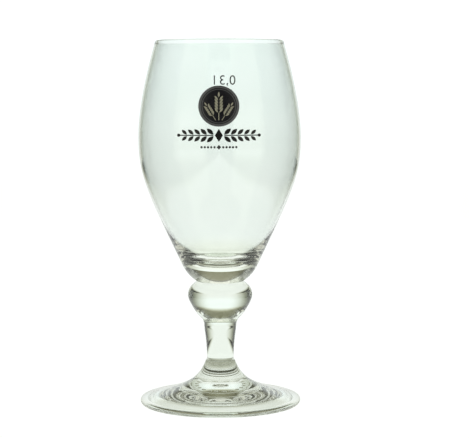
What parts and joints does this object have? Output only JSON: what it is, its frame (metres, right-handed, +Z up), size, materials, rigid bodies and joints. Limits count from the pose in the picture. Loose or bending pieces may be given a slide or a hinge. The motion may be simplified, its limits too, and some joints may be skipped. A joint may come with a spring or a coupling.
{
  "type": "stemmed beer glass",
  "caption": "Clear stemmed beer glass: tulip bowl with a thick base on a round knop, short tapering stem and wide hollowed foot, with a dark round badge and ornament printed on the bowl.",
  "frame": {"origin": "middle of the foot's standing ring, on the surface that the glass stands on", "axes": "+Z up along the axis of the glass, -Y towards the side that carries the badge, +X to the right of the badge seen from the front"},
  "size_m": [0.0802, 0.0803, 0.18],
  "materials": {
    "blown_glass": "clear, fire polished",
    "pressed_glass": "clear, pressed, slightly green in the thick",
    "dark_enamel": "fired screen print, satin gloss",
    "silver_enamel": "fired screen print with a dull silver pigment",
    "pale_enamel": "fired screen print, satin gloss",
    "grey_enamel": "fired screen print, thin"
  },
  "bodies": {
    "root": {"bowl": "blown_glass", "stem": "pressed_glass", "foot": "pressed_glass", "badge_ground": "dark_enamel", "badge_ring": "silver_enamel", "badge_motif": "pale_enamel", "ornament_band": "dark_enamel", "bead_row": "grey_enamel", "fill_line": "grey_enamel"}
  },
  "joints": []
}
